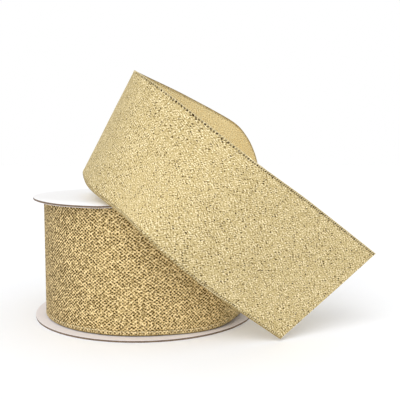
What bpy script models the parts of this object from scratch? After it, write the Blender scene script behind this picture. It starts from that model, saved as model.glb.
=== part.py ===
"""A cardboard ribbon spool that stands on one flange, with its wound ribbon and the ribbon's loose end.

The spool is two laminated board flanges on a paper tube. The wired ribbon is wound counter-clockwise seen
from above. Its outermost turn and its loose end are one strip, which can travel round the roll about Z.
The origin is on the spool's axis at the surface it stands on, and the strip's cut end falls in front, at -Y.
"""

import math
from collections import namedtuple

import bmesh
import bpy
from mathutils import Matrix, Vector

MM = 0.001

# Flanges: a greyboard disc between two facing papers, with a spindle hole
FLANGE_RADIUS = 62.5 * MM
HOLE_RADIUS = 12.5 * MM
BOARD = 0.85 * MM
PAPER = 0.15 * MM
GLUE_LINE = 0.05 * MM
FLANGE = 2 * PAPER + 2 * GLUE_LINE + BOARD
BETWEEN_FLANGES = 64.5 * MM
HEIGHT = BETWEEN_FLANGES + 2 * FLANGE

# Tube and the board rings that plug its ends
TUBE_OUTER = 29.0 * MM
TUBE_INNER = 27.0 * MM
HUB_RADIUS = 26.7 * MM
HUB_THICKNESS = 3.0 * MM

# Ribbon
RIBBON_WIDTH = 63.5 * MM
RIBBON = 0.5 * MM
TURN_PITCH = 0.8 * MM
OUTER_TURN = 56.85 * MM
WIRE_RADIUS = 0.3 * MM
WIRE_INSET = 0.45 * MM
CLOTH_INSET = 1.15 * MM
CLEARANCE = 0.3 * MM

# Tape that holds the ribbon's inner end on the tube
TAPE = 0.15 * MM
TAPE_HEIGHT = 19.0 * MM
TAPE_ARC = math.radians(40)

# Where the loose end leaves the roll, how far the strip laps its own start there, its length from there
# to the cut, and the distance in which its creases start to slant
LEAVES_AT = math.radians(-81)
OVERLAP = math.radians(20)
LOOSE_LENGTH = 441 * MM
EASE = 18 * MM

# The soft bends of the loose end, in the order met from the roll. Each gives its distance from the roll, its
# length, how far it turns the ribbon, the slant of its crease and how far it turns the ribbon upwards in its
# own plane, in mm and degrees.
Bend = namedtuple("Bend", "at length turn slant rise")
BENDS = [
    Bend(-6, 8, 15, -15, -7.5),
    Bend(42, 17, 53.5, 15, 14),
    Bend(113, 60, 67, 17, 23),
    Bend(149, 7, 38, 7, 1.5),
    Bend(189, 12, 56, 13, 9),
    Bend(254, 8, 48, 7, 4),
    Bend(300, 13, 49, -45, 4.5),
    Bend(365, 19, 39, 20, 16),
]

# How far along the ribbon a bend's slant is felt: a share of the bend's length and a fixed distance
SLANT_SHARE = 1.3
SLANT_REACH = 8 * MM

# Mesh fineness
RING_STEPS = 64
TAPE_STEPS = 10
ROW_STEP = 5 * MM
TRACE_STEP = 1 * MM
SMOOTH_UP_TO = math.radians(35)

Row = namedtuple("Row", "centre tangent normal across")


def clear_scene():
    for old in list(bpy.data.objects):
        bpy.data.objects.remove(old)


def material(name, colour, roughness, metallic=0.0):
    made = bpy.data.materials.new(name)
    made.use_nodes = True
    shader = made.node_tree.nodes["Principled BSDF"]
    shader.inputs["Base Color"].default_value = (*colour, 1.0)
    shader.inputs["Roughness"].default_value = roughness
    shader.inputs["Metallic"].default_value = metallic
    return made


def add_object(name, mesh, finish):
    mesh.materials.append(finish)
    made = bpy.data.objects.new(name, mesh)
    bpy.context.scene.collection.objects.link(made)
    return made


def mesh_from(name, bm):
    bmesh.ops.recalc_face_normals(bm, faces=bm.faces)
    mesh = bpy.data.meshes.new(name)
    bm.to_mesh(mesh)
    bm.free()
    mesh.shade_smooth()
    mesh.set_sharp_from_angle(angle=SMOOTH_UP_TO)
    return mesh


def turned(name, inner, outer, bottom, top, finish):
    """A flat-sided ring about Z."""
    bm = bmesh.new()
    corners = ((outer, top), (outer, bottom), (inner, bottom), (inner, top))
    section = [bm.verts.new((radius, 0, z)) for radius, z in corners]
    edges = [bm.edges.new((a, b)) for a, b in zip(section, section[1:] + section[:1])]
    bmesh.ops.spin(
        bm,
        geom=section + edges,
        axis=(0, 0, 1),
        cent=(0, 0, 0),
        steps=RING_STEPS,
        angle=2 * math.pi,
        use_merge=True,
    )
    return add_object(name, mesh_from(name, bm), finish)


def lofted(name, sections, finish):
    """A closed solid through sections that are each a loop of the same number of points."""
    bm = bmesh.new()
    loops = [[bm.verts.new(point) for point in section] for section in sections]
    for before, after in zip(loops, loops[1:]):
        for i in range(len(before)):
            j = (i + 1) % len(before)
            bm.faces.new((before[i], before[j], after[j], after[i]))
    bm.faces.new(loops[0])
    bm.faces.new(reversed(loops[-1]))
    return add_object(name, mesh_from(name, bm), finish)


def flange(side, bottom, outward, board_finish, outer_finish, inner_finish):
    """Three glued discs. outward is +1 where the outer paper is on top and -1 where it is underneath."""
    outer_name, inner_name = f"{side}_flange_outer_paper", f"{side}_flange_inner_paper"
    layers = [
        (inner_name, PAPER, inner_finish),
        (f"{side}_flange_board", BOARD, board_finish),
        (outer_name, PAPER, outer_finish),
    ]
    z = bottom
    for name, thickness, finish in layers[::outward]:
        turned(name, HOLE_RADIUS, FLANGE_RADIUS, z, z + thickness, finish)
        z += thickness + GLUE_LINE


def bend_rates(distance):
    """How fast the loose end bends per metre, the slant of its crease and the turn in its own plane."""
    curvature = in_plane = 0.0
    slants = weights = 0.0
    for bend in BENDS:
        offset = distance - bend.at * MM
        length = bend.length * MM
        rate = math.exp(-0.5 * (offset / length) ** 2) / (length * math.sqrt(2 * math.pi))
        curvature += math.radians(bend.turn) * rate
        in_plane += math.radians(bend.rise) * rate
        weight = math.exp(-0.5 * (offset / (SLANT_SHARE * length + SLANT_REACH)) ** 2) + 1e-9
        slants += weight * math.tan(math.radians(bend.slant))
        weights += weight
    level_start = 1 - math.exp(-((distance / EASE) ** 2))
    return curvature, slants / weights * level_start, in_plane


def turn_rows():
    """The strip's outermost turn on the roll, spiralling out to where the loose end leaves."""
    sweep = 2 * math.pi + OVERLAP
    steps = round(sweep * OUTER_TURN / ROW_STEP)
    rows = []
    for i in range(steps):
        back = sweep * (1 - i / steps)
        angle = LEAVES_AT - back
        radius = OUTER_TURN - TURN_PITCH * back / (2 * math.pi)
        outward = Vector((math.cos(angle), math.sin(angle), 0))
        tangent = Vector((-outward.y, outward.x, 0))
        centre = outward * radius + Vector((0, 0, HEIGHT / 2))
        rows.append(Row(centre, tangent, -outward, Vector((0, 0, 1))))
    return rows


def loose_rows():
    """The loose end, traced from the roll to the cut. Each row's across runs along the crease."""
    outward = Vector((math.cos(LEAVES_AT), math.sin(LEAVES_AT), 0))
    centre = outward * OUTER_TURN + Vector((0, 0, HEIGHT / 2))
    tangent = Vector((-outward.y, outward.x, 0))
    normal = -outward
    width = Vector((0, 0, 1))
    rows = []
    steps = round(LOOSE_LENGTH / TRACE_STEP)
    rows_every = round(ROW_STEP / TRACE_STEP)
    for i in range(steps + 1):
        if i % rows_every == 0 or i == steps:
            slant = bend_rates(i * TRACE_STEP)[1]
            rows.append(Row(centre.copy(), tangent.copy(), normal.copy(), width + slant * tangent))
        curvature, slant, in_plane = bend_rates((i + 0.5) * TRACE_STEP)
        spin = (slant * tangent + width) * curvature - normal * in_plane
        half_turn = Matrix.Rotation(spin.length * TRACE_STEP / 2, 3, spin)
        tangent.rotate(half_turn)
        centre += tangent * TRACE_STEP
        tangent.rotate(half_turn)
        normal.rotate(half_turn @ half_turn)
        width.rotate(half_turn @ half_turn)
    return rows


def ribbon_strip(name, rows, finish):
    half = RIBBON_WIDTH / 2 - CLOTH_INSET
    sections = []
    for row in rows:
        edge = row.across * half
        skin = row.normal * (RIBBON / 2)
        upper, lower = row.centre + edge, row.centre - edge
        sections.append((upper + skin, upper - skin, lower - skin, lower + skin))
    return lofted(name, sections, finish)


def edge_wire(name, rows, side, finish):
    """The wire in one selvedge. side is +1 for the upper edge and -1 for the lower."""
    curve = bpy.data.curves.new(name, "CURVE")
    curve.dimensions = "3D"
    curve.bevel_depth = WIRE_RADIUS
    curve.bevel_resolution = 0
    curve.use_fill_caps = True
    spline = curve.splines.new("POLY")
    spline.points.add(len(rows) - 1)
    for point, row in zip(spline.points, rows):
        place = row.centre + row.across * side * (RIBBON_WIDTH / 2 - WIRE_INSET)
        point.co = (*place, 1)
    return add_object(name, curve, finish)


def core_tape(finish):
    """A short strip of tape curved round the tube, under the ribbon's first turn."""
    inner = TUBE_OUTER + GLUE_LINE
    low, high = (HEIGHT - TAPE_HEIGHT) / 2, (HEIGHT + TAPE_HEIGHT) / 2
    sections = []
    for i in range(TAPE_STEPS + 1):
        angle = TAPE_ARC * (i / TAPE_STEPS - 0.5)
        outward = Vector((math.cos(angle), math.sin(angle), 0))
        near, far = outward * inner, outward * (inner + TAPE)
        down, up = Vector((0, 0, low)), Vector((0, 0, high))
        sections.append((near + down, far + down, far + up, near + up))
    return lofted("core_tape", sections, finish)


def spool():
    board = material("greyboard", (0.33, 0.25, 0.19), 0.9)
    white = material("white_facing_paper", (0.88, 0.87, 0.88), 0.6)
    pale = material("pale_facing_paper", (0.76, 0.71, 0.68), 0.7)
    kraft = material("tube_paper", (0.45, 0.34, 0.24), 0.9)
    tape = material("clear_tape", (0.85, 0.83, 0.75), 0.3)
    flange("bottom", 0, -1, board, white, pale)
    flange("top", HEIGHT - FLANGE, 1, board, white, pale)
    low, high = FLANGE + GLUE_LINE, HEIGHT - FLANGE - GLUE_LINE
    turned("core_tube", TUBE_INNER, TUBE_OUTER, low, high, kraft)
    turned("bottom_hub_ring", HOLE_RADIUS, HUB_RADIUS, low, low + HUB_THICKNESS, board)
    turned("top_hub_ring", HOLE_RADIUS, HUB_RADIUS, high - HUB_THICKNESS, high, board)
    core_tape(tape)


def wound_ribbon(cloth, coil):
    """The turns under the outermost one, with the coils of wire in their two edges."""
    inner = TUBE_OUTER + GLUE_LINE + TAPE + CLEARANCE
    first_turn = OUTER_TURN - TURN_PITCH * (1 + OVERLAP / (2 * math.pi)) - RIBBON / 2
    outer = first_turn - CLEARANCE
    half = RIBBON_WIDTH / 2
    middle = HEIGHT / 2
    cloth_half = half - CLOTH_INSET
    wire_low = half - WIRE_INSET - WIRE_RADIUS
    wire_high = half - WIRE_INSET + WIRE_RADIUS
    turned("ribbon_roll", inner, outer, middle - cloth_half, middle + cloth_half, cloth)
    turned("roll_upper_wire_coil", inner, outer, middle + wire_low, middle + wire_high, coil)
    turned("roll_lower_wire_coil", inner, outer, middle - wire_high, middle - wire_low, coil)


def loose_end(cloth, wire):
    """The strip that travels round the spool's axis, under one empty at the origin."""
    rows = turn_rows() + loose_rows()
    pieces = [
        ribbon_strip("ribbon_tail", rows, cloth),
        edge_wire("tail_upper_wire", rows, 1, wire),
        edge_wire("tail_lower_wire", rows, -1, wire),
    ]
    axis = bpy.data.objects.new("unwind_axis", None)
    bpy.context.scene.collection.objects.link(axis)
    for piece in pieces:
        piece.parent = axis


def main():
    clear_scene()
    spool()
    cloth = material("gold_ribbon", (0.62, 0.52, 0.30), 0.45, 0.5)
    wire = material("selvedge_wire", (0.70, 0.60, 0.38), 0.35, 0.8)
    coil = material("wire_coil", (0.70, 0.60, 0.38), 0.5, 0.5)
    wound_ribbon(cloth, coil)
    loose_end(cloth, wire)


main()
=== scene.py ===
"""The looks of a cardboard spool of wired glitter ribbon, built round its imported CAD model."""

import math
from collections import namedtuple

import bmesh
import bpy
import numpy as np
from mathutils import Matrix, Vector


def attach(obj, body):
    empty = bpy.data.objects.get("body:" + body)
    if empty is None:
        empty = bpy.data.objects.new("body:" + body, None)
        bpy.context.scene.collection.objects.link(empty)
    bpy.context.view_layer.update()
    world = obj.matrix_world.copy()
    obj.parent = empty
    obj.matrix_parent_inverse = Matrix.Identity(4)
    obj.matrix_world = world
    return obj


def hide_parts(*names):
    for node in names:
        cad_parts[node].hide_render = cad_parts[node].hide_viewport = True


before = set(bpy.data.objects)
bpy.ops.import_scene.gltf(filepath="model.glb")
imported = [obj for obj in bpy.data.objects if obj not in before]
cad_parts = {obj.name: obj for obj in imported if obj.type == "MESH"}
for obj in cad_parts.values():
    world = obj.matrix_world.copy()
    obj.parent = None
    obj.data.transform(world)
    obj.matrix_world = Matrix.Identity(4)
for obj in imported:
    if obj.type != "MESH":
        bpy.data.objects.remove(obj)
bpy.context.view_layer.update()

MM = 0.001
TO_MM = 1000

# Spool: its layers, the rounding of their edges and the rings in which a disc is meshed near its rim
FLANGE_RADIUS = 62.5 * MM
HOLE_RADIUS = 12.5 * MM
HEIGHT = 67.0 * MM
BOARD = 0.85 * MM
PAPER = 0.15 * MM
GLUE_LINE = 0.05 * MM
FLANGE = BOARD + 2 * (PAPER + GLUE_LINE)
ROUNDING = 0.12 * MM
RIM_RINGS = [FLANGE_RADIUS - inset * MM for inset in (5.4, 4.4, 3.4, 2.4, 1.4, 0.7)]
LATHE_STEPS = 256
SHARP_CARD = math.radians(50)

# Ribbon
RIBBON_WIDTH = 63.5 * MM
TURN_PITCH = 0.8 * MM
OUTER_TURN = 56.85 * MM
CLOTH_HALF = 0.18 * MM
TRACE_STEP = 1 * MM
SHARP_CLOTH = math.radians(60)

# Weave: the spacing of its floats in mm, how much they are stretched along the ribbon, their direction and
# how unevenly they lie, how far the rows wander in mm and how often, and the fine grain's cells
FLOAT_SPACING = 1.16
FLOAT_STRETCH = 0.80
WEAVE_ANGLE = math.radians(45)
WEAVE_RANDOMNESS = 0.36
WANDER = 0.6
WANDERS_PER_MM = 0.35
GRAINS_PER_MM = 2.1
GRAIN_ANGLE = math.radians(-20)
NEXT_GRAIN = 1.3

# The hem where the cloth wraps the wire: (distance from the edge in mm, share of the cloth's half thickness)
HEM = [(2.2, 1.0), (1.3, 1.0), (0.95, 1.1), (0.75, 1.4), (0.5, 1.55), (0.25, 1.4), (0.08, 0.9), (0, 0.3)]
HEM_FROM = 3.2 * MM
INNER_COLUMNS = 13

# The crinkle of the loose cloth: its height, where it starts and how slowly, in mm past the roll
RIPPLE = 0.10 * MM
RIPPLE_FROM = 15
RIPPLE_EASE = 30

# The cloth map holds the face at its own place, in metres, and the reverse beside it
REVERSE_AT = 0.1

# Where the loose end leaves the roll, how far the strip laps its own start there, its length from there to
# the cut, the distance in which its creases start to slant, and its soft bends. Each bend gives its distance
# from the roll, its length, how far it turns the ribbon, the slant of its crease and how far it turns the
# ribbon upwards in its own plane, in mm and degrees.
LEAVES_AT = math.radians(-81)
OVERLAP = math.radians(20)
LOOSE_LENGTH = 441 * MM
EASE = 18 * MM
Bend = namedtuple("Bend", "at length turn slant rise")
BENDS = [
    Bend(-6, 8, 15, -15, -7.5),
    Bend(42, 17, 53.5, 15, 14),
    Bend(113, 60, 67, 17, 23),
    Bend(149, 7, 38, 7, 1.5),
    Bend(189, 12, 56, 13, 9),
    Bend(254, 8, 48, 7, 4),
    Bend(300, 13, 49, -45, 4.5),
    Bend(365, 19, 39, 20, 16),
]

# How far along the ribbon a bend's slant is felt: a share of the bend's length and a fixed distance
SLANT_SHARE = 1.3
SLANT_REACH = 8 * MM
NEVER_ZERO = 1e-9

# The top flange's rim is bent down in front, beside the place where the loose end rests on it. The bend grows
# and fades over these spans round the axis, in degrees, and grows from the first radius to the second.
RIM_DIP = 1.1 * MM
DIP_GROWS = (-178, -118)
DIP_FADES = (-108, -90)
DIP_RADII = (OUTER_TURN + 0.6 * MM, FLANGE_RADIUS + 3 * MM)

# Stitches: one turn of the thread, as shares of a turn round the hem and of a pitch along it
THREAD_RADIUS = 0.1 * MM
STITCH_PITCH = 1.2 * MM
STITCH_INSET = 0.75 * MM
STITCH_REACH = 0.55 * MM
STITCH_LIFT = 1.5 * CLOTH_HALF + 0.03 * MM
STITCH_PHASES = np.array([0.0, 0.16, 0.36, 0.5, 0.64, 0.84])
STITCH_ADVANCE = np.array([0.0, 0.05, 0.13, 0.2, 0.45, 0.75])
END_MARGIN = 0.4 * MM
STITCH_START = END_MARGIN - (2 * math.pi + OVERLAP) * OUTER_TURN
UNEVEN_ALONG = 0.05 * MM
UNEVEN_REACH = 0.06 * MM

# Cloth colours. The gaps' dark is partly painted shade and the floats' cream partly painted glint; the wound
# tint, groove and slit colours are painted shade, the crest a painted highlight
DARK_GAP_SHADE = (0.035, 0.016, 0.002, 1)
CREAM_FLOAT_GLINT = (1.0, 0.86, 0.54, 1)
WOUND_WARM_SHADE = (1.0, 0.92, 0.80, 1)
GROOVE_SHADE = (0.12, 0.08, 0.02, 1)
CREST_LIGHT = (1.0, 0.88, 0.58, 1)
SLIT_SHADE = (0.03, 0.015, 0.004, 1)
UPPER_RIM = (0.66, 0.56, 0.34, 1)
LOWER_RIM = (0.30, 0.215, 0.085, 1)
REVERSE_RIM = (0.17, 0.105, 0.03, 1)
WHITE = (1, 1, 1, 1)

# Tube
SEAM_PITCH = 40

# Studio: the light from everywhere, the two windows and the camera
AMBIENT = 0.75
Window = namedtuple("Window", "name heading strength spread")
WINDOWS = [
    Window("key", (0.42, 0.88, -0.85), 1.6, 45),
    Window("fill", (-0.75, 0.55, -0.35), 0.35, 70),
]
FLOOR_HALF = 3.0
FLOOR_DROP = 0.05 * MM
CAMERA_PLACE = (0.0312, -0.3334, 0.0921)
CAMERA_PITCH = math.radians(85.1)
CAMERA_SENSOR = 36.0
CAMERA_LENS = 52.2
CAMERA_NEAR = 0.01


# ---------------------------------------------------------------- shapes


def bend_rates(distance):
    """How fast the ribbon bends there, the slant of its crease and how fast it turns in its own plane."""
    curvature = in_plane = 0.0
    slants = weights = 0.0
    for bend in BENDS:
        offset = distance - bend.at * MM
        length = bend.length * MM
        rate = math.exp(-0.5 * (offset / length) ** 2) / (length * math.sqrt(2 * math.pi))
        curvature += math.radians(bend.turn) * rate
        in_plane += math.radians(bend.rise) * rate
        reach = SLANT_SHARE * length + SLANT_REACH
        weight = math.exp(-0.5 * (offset / reach) ** 2) + NEVER_ZERO
        slants += weight * math.tan(math.radians(bend.slant))
        weights += weight
    level_start = 1 - math.exp(-((distance / EASE) ** 2))
    return curvature, slants / weights * level_start, in_plane


def ribbon_rows():
    """One row per millimetre of the outermost turn and the loose end: along, centre, normal, across.

    normal points to the inside of the wind. across is the crease's direction, one unit per unit of width.
    """
    rows = []
    upright = Vector((0, 0, 1))
    middle = Vector((0, 0, HEIGHT / 2))
    sweep = 2 * math.pi + OVERLAP
    steps = round(sweep * OUTER_TURN / TRACE_STEP)
    for i in range(steps):
        back = sweep * (1 - i / steps)
        angle = LEAVES_AT - back
        radius = OUTER_TURN - TURN_PITCH * back / (2 * math.pi)
        outward = Vector((math.cos(angle), math.sin(angle), 0))
        rows.append((-back * OUTER_TURN, outward * radius + middle, -outward, upright))

    outward = Vector((math.cos(LEAVES_AT), math.sin(LEAVES_AT), 0))
    centre = outward * OUTER_TURN + middle
    tangent = Vector((-outward.y, outward.x, 0))
    normal = -outward
    width = upright.copy()
    for i in range(round(LOOSE_LENGTH / TRACE_STEP) + 1):
        distance = i * TRACE_STEP
        slant = bend_rates(distance)[1]
        rows.append((distance, centre.copy(), normal.copy(), width + slant * tangent))
        curvature, slant, in_plane = bend_rates(distance + TRACE_STEP / 2)
        spin = (slant * tangent + width) * curvature - normal * in_plane
        half_turn = Matrix.Rotation(spin.length * TRACE_STEP / 2, 3, spin)
        tangent.rotate(half_turn)
        centre += tangent * TRACE_STEP
        tangent.rotate(half_turn)
        normal.rotate(half_turn @ half_turn)
        width.rotate(half_turn @ half_turn)
    return rows


class Strip:
    """The ribbon's middle surface, as arrays with one entry per row."""

    def __init__(self, rows):
        self.along = np.array([row[0] for row in rows])
        self.centre, self.normal, self.across = (
            np.array([row[i][:] for row in rows]) for i in (1, 2, 3)
        )

    def at(self, along, v, lift):
        """Points at distances along the ribbon, v from its middle line, lifted to the inside of the wind."""
        def between(values):
            return np.stack([np.interp(along, self.along, values[:, i]) for i in range(3)], -1)
        normal = between(self.normal)
        normal /= np.linalg.norm(normal, axis=-1, keepdims=True)
        return between(self.centre) + between(self.across) * v[..., None] + normal * lift[..., None]


def mesh_object(name, points, faces, uvs=None):
    mesh = bpy.data.meshes.new(name)
    mesh.from_pydata([tuple(p) for p in points], [], faces)
    if uvs is not None:
        layer = mesh.uv_layers.new(name="cloth")
        layer.data.foreach_set("uv", np.asarray(uvs, np.float32).ravel())
    mesh.validate()
    mesh.shade_smooth()
    made = bpy.data.objects.new(name, mesh)
    bpy.context.scene.collection.objects.link(made)
    return made


def ease(value, low, high):
    """0 up to low, 1 from high, and a smooth climb between."""
    share = min(max((value - low) / (high - low), 0.0), 1.0)
    return share * share * (3 - 2 * share)


def no_dip(radius, angle):
    return 0.0


def rim_dip(radius, angle):
    """How far the top flange is bent down at this radius and angle."""
    side = (math.degrees(angle) + 180) % 360 - 180
    arc = ease(side, *DIP_GROWS) * (1 - ease(side, *DIP_FADES))
    return RIM_DIP * arc * ease(radius, *DIP_RADII) / ease(FLANGE_RADIUS, *DIP_RADII)


def lathe(name, profile, dip):
    """A closed ring turned about Z from a closed profile of (radius, height) points, counter-clockwise."""
    angles = np.arange(LATHE_STEPS) * 2 * math.pi / LATHE_STEPS
    count = len(profile)
    points = [(r * math.cos(a), r * math.sin(a), z - dip(r, a)) for a in angles for r, z in profile]
    faces = []
    for i in range(LATHE_STEPS):
        j = (i + 1) % LATHE_STEPS
        for k in range(count):
            n = (k + 1) % count
            faces.append((i * count + k, j * count + k, j * count + n, i * count + n))
    made = mesh_object(name, points, faces)
    made.data.set_sharp_from_angle(angle=SHARP_CARD)
    return made


def disc_profile(low, high, round_by):
    """The section of a flange layer with its outer corners rounded by round_by."""
    cut = round_by * (1 - math.sqrt(0.5))
    return [
        *((radius, high) for radius in reversed(RIM_RINGS)),
        (HOLE_RADIUS, high),
        (HOLE_RADIUS, low),
        *((radius, low) for radius in RIM_RINGS),
        (FLANGE_RADIUS - round_by, low),
        (FLANGE_RADIUS - cut, low + cut),
        (FLANGE_RADIUS, low + round_by),
        (FLANGE_RADIUS, high - round_by),
        (FLANGE_RADIUS - cut, high - cut),
        (FLANGE_RADIUS - round_by, high),
    ]


def hem_section():
    """(v, half thickness) from the middle of the ribbon to its edge."""
    half = RIBBON_WIDTH / 2
    inner = np.linspace(0, half - HEM_FROM, INNER_COLUMNS)
    hem = [(half - inset * MM, share * CLOTH_HALF) for inset, share in HEM]
    return [(v, CLOTH_HALF) for v in inner] + hem


def cloth_ripple(along, v):
    """How far the loose cloth stands off its smooth shape, in a crinkle that the wound part is too tight for.

    The waves' lengths are in mm.
    """
    u, w = along / MM, v / MM
    loose = 1 - np.exp(-((np.maximum(u - RIPPLE_FROM, 0) / RIPPLE_EASE) ** 2))
    waves = np.sin(u / 9.3 + 0.8 * np.sin(w / 11)) * np.sin(w / 14.5 + u / 31)
    waves = waves + 0.6 * np.sin(u / 4.9 - w / 8.1 + 1.7) * np.sin(u / 17.3 + 0.4)
    return RIPPLE * loose * waves


def ribbon_cloth(strip):
    """The outermost turn and the loose end as one closed sheet with a rounded hem on each edge."""
    section = hem_section()
    across = [(-v, h) for v, h in reversed(section[1:])] + section
    vs = np.array([v for v, h in across])
    hs = np.array([h for v, h in across])
    loop_v = np.concatenate([vs, vs[::-1]])
    loop_h = np.concatenate([hs, -hs[::-1]])
    rows = len(strip.along)
    along = np.repeat(strip.along[:, None], len(loop_v), 1)
    v = np.repeat(loop_v[None], rows, 0)
    lift = loop_h[None] + cloth_ripple(along, v)
    points = strip.at(along, v, lift).reshape(-1, 3)
    flat = np.stack([along, v], -1).reshape(-1, 2)

    count = len(loop_v)
    faces = []
    for i in range(rows - 1):
        for k in range(count):
            n = (k + 1) % count
            faces.append((i * count + k, i * count + n, (i + 1) * count + n, (i + 1) * count + k))
    last = (rows - 1) * count
    for k in range(len(vs) - 1):
        m = count - 1 - k
        faces.append((k, m, m - 1, k + 1))
        faces.append((last + k, last + k + 1, last + m - 1, last + m))
    uvs = []
    for face in faces:
        reverse = all(i % count < len(vs) for i in face)
        uvs += [(flat[i][0], flat[i][1] + REVERSE_AT * reverse) for i in face]

    made = mesh_object("glitter_ribbon", points, faces, uvs)
    bm = bmesh.new()
    bm.from_mesh(made.data)
    bmesh.ops.recalc_face_normals(bm, faces=bm.faces)
    bm.to_mesh(made.data)
    bm.free()
    made.data.set_sharp_from_angle(angle=SHARP_CLOTH)
    return made


def whip_stitches(name, strip, side, seed):
    """The thread that whips the cloth over the wire along one edge, as a flattened helix."""
    last = strip.along[-1] - END_MARGIN
    turns = int((last - STITCH_START) / STITCH_PITCH)
    rng = np.random.default_rng(seed)
    uneven_along = rng.normal(0, UNEVEN_ALONG, turns)[:, None]
    uneven_reach = rng.normal(0, UNEVEN_REACH, turns)[:, None]
    pitches = np.arange(turns)[:, None] + STITCH_ADVANCE[None]
    along = STITCH_START + pitches * STITCH_PITCH + uneven_along
    angle = 2 * math.pi * np.repeat(STITCH_PHASES[None], turns, 0)
    inward = np.cos(angle) < 0
    v = (RIBBON_WIDTH / 2 - STITCH_INSET) + STITCH_REACH * np.cos(angle) + uneven_reach * inward
    lift = -STITCH_LIFT * np.sin(angle) + cloth_ripple(along, v)
    points = strip.at(along.ravel(), side * v.ravel(), lift.ravel())

    curve = bpy.data.curves.new(name, "CURVE")
    curve.dimensions = "3D"
    curve.bevel_depth = THREAD_RADIUS
    curve.bevel_resolution = 1
    curve.use_fill_caps = True
    spline = curve.splines.new("POLY")
    spline.points.add(len(points) - 1)
    spline.points.foreach_set("co", np.c_[points, np.ones(len(points))].astype(np.float32).ravel())
    made = bpy.data.objects.new(name, curve)
    bpy.context.scene.collection.objects.link(made)
    return made


# ---------------------------------------------------------------- materials


class Finish:
    """A material under construction: its node tree, its shader and short ways to add to them."""

    def __init__(self, name, roughness=0.5, metallic=0.0):
        self.material = bpy.data.materials.new(name)
        self.material.use_nodes = True
        self.tree = self.material.node_tree
        self.shader = self.tree.nodes["Principled BSDF"]
        self.shader.inputs["Roughness"].default_value = roughness
        self.shader.inputs["Metallic"].default_value = metallic

    def node(self, kind, **settings):
        made = self.tree.nodes.new(kind)
        for key, value in settings.items():
            setattr(made, key, value)
        return made

    def put(self, socket, value):
        if hasattr(value, "is_output"):
            self.tree.links.new(value, socket)
        else:
            socket.default_value = value

    def math(self, operation, a, b=0.0, clamp=False):
        made = self.node("ShaderNodeMath", operation=operation, use_clamp=clamp)
        self.put(made.inputs[0], a)
        self.put(made.inputs[1], b)
        return made.outputs[0]

    def plus(self, a, b, clamp=False):
        return self.math("ADD", a, b, clamp)

    def minus(self, a, b):
        return self.math("SUBTRACT", a, b)

    def times(self, a, b, clamp=False):
        return self.math("MULTIPLY", a, b, clamp)

    def split(self, vector):
        made = self.node("ShaderNodeSeparateXYZ")
        self.put(made.inputs[0], vector)
        return made.outputs[0], made.outputs[1], made.outputs[2]

    def mapped(self, vector, scale, turn=0.0):
        """vector turned about Z, then scaled."""
        turned = self.node("ShaderNodeMapping")
        self.put(turned.inputs["Vector"], vector)
        turned.inputs["Rotation"].default_value = (0, 0, turn)
        scaled = self.node("ShaderNodeMapping")
        self.put(scaled.inputs["Vector"], turned.outputs[0])
        scaled.inputs["Scale"].default_value = scale
        return scaled.outputs[0]

    def moved(self, vector, by):
        made = self.node("ShaderNodeVectorMath", operation="ADD")
        self.put(made.inputs[0], vector)
        made.inputs[1].default_value = by
        return made.outputs[0]

    def noise(self, vector, scale, detail=3.0):
        made = self.node("ShaderNodeTexNoise")
        self.put(made.inputs["Vector"], vector)
        made.inputs["Scale"].default_value = scale
        made.inputs["Detail"].default_value = detail
        made.inputs["Roughness"].default_value = 0.55
        return made.outputs["Fac"]

    def cells(self, vector, randomness=1.0):
        """Voronoi cells of unit size: (distance from the cell's centre, two random numbers of the cell)."""
        made = self.node("ShaderNodeTexVoronoi")
        self.put(made.inputs["Vector"], vector)
        made.inputs["Scale"].default_value = 1.0
        made.inputs["Randomness"].default_value = randomness
        colour = self.node("ShaderNodeSeparateColor")
        self.put(colour.inputs[0], made.outputs["Color"])
        return made.outputs["Distance"], colour.outputs[0], colour.outputs[1]

    def ramp(self, factor, stops):
        made = self.node("ShaderNodeValToRGB")
        elements = made.color_ramp.elements
        while len(elements) < len(stops):
            elements.new(0.5)
        for element, (place, colour) in zip(elements, stops):
            element.position = place
            element.color = (*colour, 1.0)
        self.put(made.inputs[0], factor)
        return made.outputs[0]

    def between(self, value, low, high, to_low=0.0, to_high=1.0):
        """to_low up to low, to_high from high, and a straight climb between. low may be the larger one."""
        made = self.node("ShaderNodeMapRange")
        self.put(made.inputs["Value"], value)
        for key, number in zip(("From Min", "From Max", "To Min", "To Max"), (low, high, to_low, to_high)):
            made.inputs[key].default_value = number
        return made.outputs[0]

    def within(self, value, rise, fall):
        """1 from the end of rise to the end of fall, and 0 outside their starts."""
        return self.times(self.between(value, *rise), self.between(value, *fall))

    def mix(self, factor, a, b, blend="MIX"):
        made = self.node("ShaderNodeMix", data_type="RGBA", blend_type=blend)
        self.put(made.inputs[0], factor)
        self.put(made.inputs[6], a)
        self.put(made.inputs[7], b)
        return made.outputs[2]

    def colour(self, value):
        self.put(self.shader.inputs["Base Color"], value)

    def bump(self, height, distance, strength=1.0):
        made = self.node("ShaderNodeBump")
        made.inputs["Strength"].default_value = strength
        made.inputs["Distance"].default_value = distance
        self.put(made.inputs["Height"], height)
        self.put(self.shader.inputs["Normal"], made.outputs[0])

    def place(self):
        """Object coordinates in millimetres."""
        coordinates = self.node("ShaderNodeTexCoord")
        return self.mapped(coordinates.outputs["Object"], (TO_MM, TO_MM, TO_MM))


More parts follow.
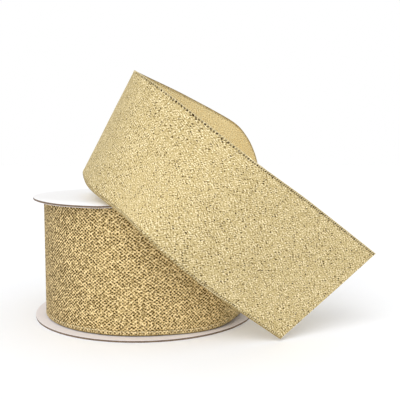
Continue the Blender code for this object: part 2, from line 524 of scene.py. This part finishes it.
class Cloth:
    """Where a point lies on the ribbon, in millimetres, as sockets of its material."""

    def __init__(self, finish):
        uv = finish.node("ShaderNodeUVMap", uv_map="cloth")
        self.place = finish.mapped(uv.outputs[0], (TO_MM, TO_MM, 1))
        self.along, mapped_across, _ = finish.split(self.place)
        apart = TO_MM * REVERSE_AT
        self.reverse = finish.math("GREATER_THAN", mapped_across, apart / 2)
        self.across = finish.minus(mapped_across, finish.times(self.reverse, apart))
        self.upper = finish.math("GREATER_THAN", self.across, 0.0)
        self.lower = finish.math("LESS_THAN", self.across, 0.0)
        self.from_edge = finish.minus(TO_MM * RIBBON_WIDTH / 2, finish.math("ABSOLUTE", self.across))
        # Wound tight on the roll, with painted shade; further round from where the ribbon leaves, the gaps'
        # painted shade is deeper
        self.tight = finish.between(self.along, 62.0, 34.0)
        self.deeper_gap_shade = finish.between(self.along, -25.0, -60.0)


def weave_cells(finish, cloth):
    """The diagonal lattice of floats, which wanders a little, so that no row runs dead straight."""
    wander = finish.node("ShaderNodeTexNoise")
    finish.put(wander.inputs["Vector"], cloth.place)
    wander.inputs["Scale"].default_value = WANDERS_PER_MM
    wander.inputs["Detail"].default_value = 1.0
    shifted = finish.node("ShaderNodeVectorMath", operation="MULTIPLY_ADD")
    finish.put(shifted.inputs[0], wander.outputs["Color"])
    shifted.inputs[1].default_value = (WANDER, WANDER, 0)
    finish.put(shifted.inputs[2], cloth.place)
    stretched = finish.mapped(shifted.outputs[0], (FLOAT_STRETCH, 1, 1))
    per_mm = 1 / FLOAT_SPACING
    return finish.cells(finish.mapped(stretched, (per_mm, per_mm, 1), WEAVE_ANGLE), WEAVE_RANDOMNESS)


def fine_grain(finish, cloth):
    """(grain, glint) of cells about half a millimetre wide.

    grain is each cell's number measured against its neighbours', so that it speckles the cloth without
    clouding it.
    """
    fine = finish.mapped(cloth.place, (GRAINS_PER_MM, GRAINS_PER_MM, 1), GRAIN_ANGLE)
    _, own, glint = finish.cells(fine)
    around = 0.0
    for step in ((NEXT_GRAIN, 0, 0), (-NEXT_GRAIN, 0, 0), (0, NEXT_GRAIN, 0), (0, -NEXT_GRAIN, 0)):
        around = finish.plus(around, finish.cells(finish.moved(fine, step))[1])
    grain = finish.minus(own, finish.times(around, 0.25))
    return finish.plus(finish.times(grain, 1.1), 0.5, clamp=True), glint


def lurex_face(finish, cloth, spot, depth, shine, grain):
    """Lurex with dark gaps, partly painted shade, and cream floats, partly painted glint, both stronger on
    the wound turns.
    """
    tight, deeper_gap_shade = cloth.tight, cloth.deeper_gap_shade
    patches = finish.noise(cloth.place, 0.10, detail=4)
    body = finish.plus(finish.times(grain, 0.86), finish.times(shine, 0.14))
    body = finish.plus(body, finish.between(patches, 0.3, 0.7, -0.02, 0.02))
    # Painted shade: the lurex is darker on the wound turns
    body = finish.minus(body, finish.times(tight, 0.12))
    lurex = finish.ramp(
        body,
        [
            (0.02, (0.12, 0.075, 0.018)),
            (0.15, (0.38, 0.285, 0.115)),
            (0.40, (0.52, 0.41, 0.195)),
            (0.75, (0.61, 0.50, 0.265)),
            (0.97, (0.97, 0.85, 0.57)),
        ],
    )

    # Painted shade in the weave's gaps: wider and darker on the wound turns, and more so further round the
    # roll
    tight_hollow = finish.mix(deeper_gap_shade, finish.between(spot, 0.39, 0.28), finish.between(spot, 0.50, 0.36))
    hollow = finish.mix(tight, finish.between(spot, 0.36, 0.22), tight_hollow)
    loose_gap = finish.between(depth, 0.58, 0.95, 0.02, 1.0)
    tight_gap = finish.mix(
        deeper_gap_shade, finish.between(depth, 0.0, 0.75, 0.6, 1.0), finish.between(depth, 0.0, 0.5, 0.80, 1.0)
    )
    gap = finish.times(hollow, finish.mix(tight, loose_gap, tight_gap))
    broken = finish.between(grain, 0.80, 0.35, 0.65, 1.6)
    gap = finish.times(gap, finish.mix(tight, WHITE, broken), clamp=True)
    face = finish.mix(gap, lurex, DARK_GAP_SHADE)

    # Cream floats, partly painted glint, stronger on the wound turns
    raised = finish.between(spot, 0.50, 0.62)
    loose_float = finish.between(shine, 0.55, 1.0, 0.0, 0.3)
    tight_float = finish.between(shine, 0.0, 0.8, 0.55, 1.0)
    fleck = finish.times(raised, finish.mix(tight, loose_float, tight_float))
    shown = finish.between(grain, 0.20, 0.65, 0.6, 1.6)
    fleck = finish.times(fleck, finish.mix(tight, WHITE, shown), clamp=True)
    face = finish.mix(fleck, face, CREAM_FLOAT_GLINT)
    # Painted warm shade on the wound turns, standing in for the gold's light thrown back onto them
    return finish.mix(tight, face, WOUND_WARM_SHADE, "MULTIPLY")


def plain_reverse_painted_light(finish, cloth, grain):
    # The reverse is plainer and paler than the face; its paler tone is partly painted light on the loop's
    # inner side
    streak = finish.noise(finish.mapped(cloth.place, (0.5, 2.6, 1), math.radians(35)), 1.0, detail=4)
    return finish.ramp(
        finish.plus(finish.times(streak, 0.5), finish.times(grain, 0.5)),
        [(0.22, (0.40, 0.29, 0.11)), (0.42, (0.88, 0.71, 0.37)), (0.75, (1.0, 0.90, 0.58))],
    )


def with_casing_shade_and_highlight(finish, cloth, colour):
    """On the wound turns the lower wire's casing ends in a groove and a crest, drawn as painted shade and a
    painted highlight, both of them broken.
    """
    breaks = finish.between(finish.noise(cloth.place, 1.1, detail=2), 0.42, 0.58, 0.15, 1.0)
    casing = finish.times(finish.times(cloth.tight, cloth.lower), breaks)
    groove = finish.within(cloth.from_edge, (2.1, 2.3), (2.75, 2.55))
    crest = finish.within(cloth.from_edge, (1.6, 1.8), (2.2, 2.0))
    colour = finish.mix(finish.times(groove, finish.times(casing, 0.75)), colour, GROOVE_SHADE)
    return finish.mix(finish.times(crest, finish.times(casing, 0.6)), colour, CREST_LIGHT)


def with_slit_shade(finish, cloth, colour):
    """Painted shade in the slits between the stitches.

    Every second one is fainter, and so are those of the lower edge, of the wound turns and of the first part
    of the loop.
    """
    count = finish.math("DIVIDE", finish.minus(cloth.along, STITCH_START / MM), STITCH_PITCH / MM)
    beat = finish.math("FRACT", count)
    second = finish.math("GREATER_THAN", finish.math("FRACT", finish.times(count, 0.5)), 0.5)
    slit = finish.within(beat, (0.30, 0.38), (0.98, 0.90))
    band = finish.within(cloth.from_edge, (1.65, 1.50), (0.30, 0.42))
    slit = finish.times(finish.times(slit, band), finish.between(second, 0.0, 1.0, 1.0, 0.75))
    by_edge = finish.between(cloth.upper, 0.0, 1.0, 0.7, 1.0)
    strength = finish.times(by_edge, finish.between(cloth.tight, 0.0, 1.0, 1.0, 0.7))
    chance = finish.between(finish.noise(cloth.place, 0.5, detail=2), 0.38, 0.54, 0.6, 1.0)
    chance = finish.times(chance, finish.between(cloth.along, 265.0, 310.0, 0.55, 1.0))
    return finish.mix(finish.times(finish.times(slit, strength), chance), colour, SLIT_SHADE)


def with_rims(finish, cloth, colour):
    """The outermost threads of each edge get another tone: pale on the upper edge of the face, dark on its
    lower edge and on the reverse.
    """
    rim_colour = finish.mix(cloth.upper, LOWER_RIM, UPPER_RIM)
    rim_colour = finish.mix(cloth.reverse, rim_colour, REVERSE_RIM)
    return finish.mix(finish.times(finish.between(cloth.from_edge, 0.75, 0.25), 0.8), colour, rim_colour)


def glitter_cloth():
    """Woven lurex, with a plainer reverse; its colour holds painted shade, glints and a highlight, and the
    reverse's paler tone is partly painted light.
    """
    finish = Finish("glitter_cloth", roughness=0.5, metallic=0.2)
    finish.shader.inputs["Specular IOR Level"].default_value = 0.0
    cloth = Cloth(finish)
    spot, depth, shine = weave_cells(finish, cloth)
    grain, glint = fine_grain(finish, cloth)
    face = lurex_face(finish, cloth, spot, depth, shine, grain)
    colour = finish.mix(cloth.reverse, face, plain_reverse_painted_light(finish, cloth, grain))
    colour = with_casing_shade_and_highlight(finish, cloth, colour)
    colour = with_slit_shade(finish, cloth, colour)
    finish.colour(with_rims(finish, cloth, colour))
    finish.put(finish.shader.inputs["Roughness"], finish.between(shine, 0.0, 1.0, 0.34, 0.66))
    finish.bump(finish.plus(finish.times(spot, 0.8), finish.times(glint, 0.5)), 0.08 * MM, 0.5)
    return finish.material


def facing_paper(name, pale, shade, roughness):
    """Smooth paper: a faint cloud of shade, fine fibres and a slight tooth."""
    finish = Finish(name, roughness=roughness)
    place = finish.place()
    cloud = finish.noise(place, 0.05, detail=5)
    fibre = finish.noise(finish.mapped(place, (0.9, 3.2, 1), math.radians(25)), 1.2, detail=4)
    tone = finish.plus(finish.times(cloud, 0.6), finish.times(fibre, 0.4))
    finish.colour(finish.ramp(tone, [(0.3, shade), (0.7, pale)]))
    tooth = finish.noise(place, 3.0, detail=4)
    varied = finish.between(tooth, 0.3, 0.7, roughness - 0.06, roughness + 0.06)
    finish.put(finish.shader.inputs["Roughness"], varied)
    finish.bump(tooth, 0.02 * MM, 0.6)
    return finish.material


def greyboard():
    """Recycled board: grey-brown pulp in flat layers, with dark and pale flecks."""
    finish = Finish("greyboard", roughness=0.92)
    place = finish.place()
    layers = finish.noise(finish.mapped(place, (0.5, 0.5, 7.0)), 1.0, detail=5)
    _, fleck, _ = finish.cells(finish.mapped(place, (2.2, 2.2, 4.5)))
    finish.colour(
        finish.ramp(
            finish.plus(finish.times(layers, 0.75), finish.times(fleck, 0.25)),
            [(0.3, (0.085, 0.052, 0.032)), (0.5, (0.17, 0.115, 0.075)), (0.72, (0.30, 0.215, 0.15))],
        )
    )
    finish.bump(layers, 0.08 * MM)
    return finish.material


def kraft_tube():
    """Spirally wound kraft paper with a seam that climbs the tube."""
    finish = Finish("kraft_tube", roughness=0.85)
    place = finish.place()
    x, y, z = finish.split(place)
    around = finish.math("ARCTAN2", y, x)
    climb = finish.minus(z, finish.times(around, SEAM_PITCH / (2 * math.pi)))
    turns = finish.math("DIVIDE", climb, SEAM_PITCH)
    seam = finish.math("ABSOLUTE", finish.minus(finish.math("FRACT", turns), 0.5))
    line = finish.between(seam, 0.485, 0.495)
    pulp = finish.noise(finish.mapped(place, (1, 1, 0.4)), 0.7, detail=5)
    kraft = finish.ramp(pulp, [(0.3, (0.27, 0.18, 0.105)), (0.7, (0.43, 0.31, 0.19))])
    finish.colour(finish.mix(line, kraft, (0.15, 0.10, 0.06, 1)))
    finish.bump(finish.plus(pulp, finish.times(line, -1.0)), 0.06 * MM)
    return finish.material


def wound_edges(name, dark, pale):
    """The edges of the wound turns, seen as close rings round the axis."""
    finish = Finish(name, roughness=0.5, metallic=0.2)
    place = finish.place()
    x, y, _ = finish.split(place)
    radius = finish.math("SQRT", finish.plus(finish.math("POWER", x, 2.0), finish.math("POWER", y, 2.0)))
    around = finish.math("ARCTAN2", y, x)
    turn = finish.minus(
        finish.math("DIVIDE", radius, TURN_PITCH / MM), finish.math("DIVIDE", around, 2 * math.pi)
    )
    ring = finish.math("ABSOLUTE", finish.minus(finish.math("FRACT", turn), 0.5))
    grain = finish.noise(place, 2.2, detail=3)
    tone = finish.plus(finish.times(ring, -1.1), finish.times(grain, 0.9))
    finish.colour(finish.ramp(tone, [(0.0, dark), (0.45, pale)]))
    finish.bump(finish.minus(grain, ring), 0.15 * MM)
    return finish.material


def mottled(name, stops, scale, detail=3.0, tooth=None, **shine):
    """A material whose colour drifts with one noise. tooth gives its bump's scale, detail and depth."""
    finish = Finish(name, **shine)
    place = finish.place()
    finish.colour(finish.ramp(finish.noise(place, scale, detail), stops))
    if tooth:
        finish.bump(finish.noise(place, tooth[0], tooth[1]), tooth[2])
    return finish.material


def stitch_thread():
    stops = [(0.32, (0.42, 0.32, 0.14)), (0.45, (0.60, 0.48, 0.24)), (0.62, (0.90, 0.78, 0.48))]
    return mottled("stitch_thread", stops, 0.8, tooth=(6.0, 2, 0.03 * MM), roughness=0.5, metallic=0.1)


def selvedge_wire():
    stops = [(0.3, (0.45, 0.36, 0.20)), (0.7, (0.72, 0.62, 0.40))]
    return mottled("selvedge_wire", stops, 0.7, tooth=(5.0, 3, 0.02 * MM), roughness=0.3, metallic=0.9)


def clear_tape():
    stops = [(0.3, (0.70, 0.66, 0.55)), (0.7, (0.86, 0.83, 0.74))]
    return mottled("clear_tape", stops, 0.3, detail=4, tooth=(1.4, 2, 0.03 * MM), roughness=0.3)


def floor_finish():
    stops = [(0.3, (0.94, 0.95, 0.97)), (0.7, (0.96, 0.97, 0.99))]
    return mottled("pale_floor", stops, 0.01, roughness=0.85)


# ---------------------------------------------------------------- the object


def repaint(material, *nodes):
    for name in nodes:
        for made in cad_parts[name].material_slots:
            made.material = material


def flange(side, bottom, outward, dip, board, outer_paper, inner_paper):
    """The flange's three layers, which stand for the CAD ones with round rims."""
    layers = [
        ("inner_paper", PAPER, inner_paper, "pale_facing_paper"),
        ("board", BOARD, board, "greyboard"),
        ("outer_paper", PAPER, outer_paper, "white_facing_paper"),
    ]
    z = bottom
    for layer, height, finish, slot in layers[::outward]:
        made = lathe(f"{side}_{layer}_disc", disc_profile(z, z + height, min(ROUNDING, height / 3)), dip)
        made.data.materials.append(finish)
        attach(made, "spool")
        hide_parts(f"{side}_flange_{layer}")
        z += height + GLUE_LINE


def build():
    board = greyboard()
    white = facing_paper("white_paper", pale=(0.915, 0.915, 0.925), shade=(0.88, 0.88, 0.89), roughness=0.5)
    pale = facing_paper("pale_paper", pale=(0.83, 0.785, 0.785), shade=(0.77, 0.725, 0.73), roughness=0.7)
    flange("bottom", 0, -1, no_dip, board, white, pale)
    flange("top", HEIGHT - FLANGE, 1, rim_dip, board, white, pale)
    repaint(kraft_tube(), "core_tube")
    repaint(board, "top_hub_ring", "bottom_hub_ring")
    repaint(clear_tape(), "core_tape")
    wound_cloth = wound_edges("wound_cloth", dark=(0.13, 0.09, 0.04), pale=(0.56, 0.46, 0.26))
    repaint(wound_cloth, "ribbon_roll")
    wound_wire = wound_edges("wound_wire", dark=(0.16, 0.12, 0.06), pale=(0.66, 0.58, 0.38))
    repaint(wound_wire, "roll_upper_wire_coil", "roll_lower_wire_coil")
    repaint(selvedge_wire(), "tail_upper_wire", "tail_lower_wire")

    strip = Strip(ribbon_rows())
    cloth = ribbon_cloth(strip)
    cloth.data.materials.append(glitter_cloth())
    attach(cloth, "loose_end")
    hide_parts("ribbon_tail")
    thread = stitch_thread()
    for name, side, seed in (("upper_whip_stitches", 1, 7), ("lower_whip_stitches", -1, 8)):
        made = whip_stitches(name, strip, side, seed)
        made.data.materials.append(thread)
        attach(made, "loose_end")


# ---------------------------------------------------------------- studio


def add_floor(scene):
    bm = bmesh.new()
    bmesh.ops.create_grid(bm, x_segments=8, y_segments=8, size=FLOOR_HALF)
    mesh = bpy.data.meshes.new("floor")
    bm.to_mesh(mesh)
    bm.free()
    floor = bpy.data.objects.new("floor", mesh)
    floor.location.z = -FLOOR_DROP
    floor.data.materials.append(floor_finish())
    scene.collection.objects.link(floor)


def add_world(scene):
    """Plain white to the camera, and an even light of AMBIENT to everything else."""
    world = bpy.data.worlds.new("studio")
    world.use_nodes = True
    tree = world.node_tree
    ambient = tree.nodes["Background"]
    ambient.inputs["Color"].default_value = WHITE
    ambient.inputs["Strength"].default_value = AMBIENT
    paper_white = tree.nodes.new("ShaderNodeBackground")
    paper_white.inputs["Color"].default_value = WHITE
    seen = tree.nodes.new("ShaderNodeLightPath")
    choose = tree.nodes.new("ShaderNodeMixShader")
    tree.links.new(seen.outputs["Is Camera Ray"], choose.inputs[0])
    tree.links.new(ambient.outputs[0], choose.inputs[1])
    tree.links.new(paper_white.outputs[0], choose.inputs[2])
    tree.links.new(choose.outputs[0], tree.nodes["World Output"].inputs["Surface"])
    scene.world = world


def add_windows(scene):
    for window in WINDOWS:
        light = bpy.data.lights.new(window.name, "SUN")
        light.energy = window.strength
        light.angle = math.radians(window.spread)
        made = bpy.data.objects.new(window.name, light)
        made.rotation_euler = Vector(window.heading).to_track_quat("-Z", "Y").to_euler()
        scene.collection.objects.link(made)


def add_camera(scene):
    lens = bpy.data.cameras.new("camera")
    lens.sensor_width = CAMERA_SENSOR
    lens.lens = CAMERA_LENS
    lens.clip_start = CAMERA_NEAR
    camera = bpy.data.objects.new("camera", lens)
    camera.location = CAMERA_PLACE
    camera.rotation_euler = (CAMERA_PITCH, 0, 0)
    scene.collection.objects.link(camera)
    scene.camera = camera
    scene.view_settings.view_transform = "Standard"


def studio():
    scene = bpy.context.scene
    add_floor(scene)
    add_world(scene)
    add_windows(scene)
    add_camera(scene)


studio()
build()
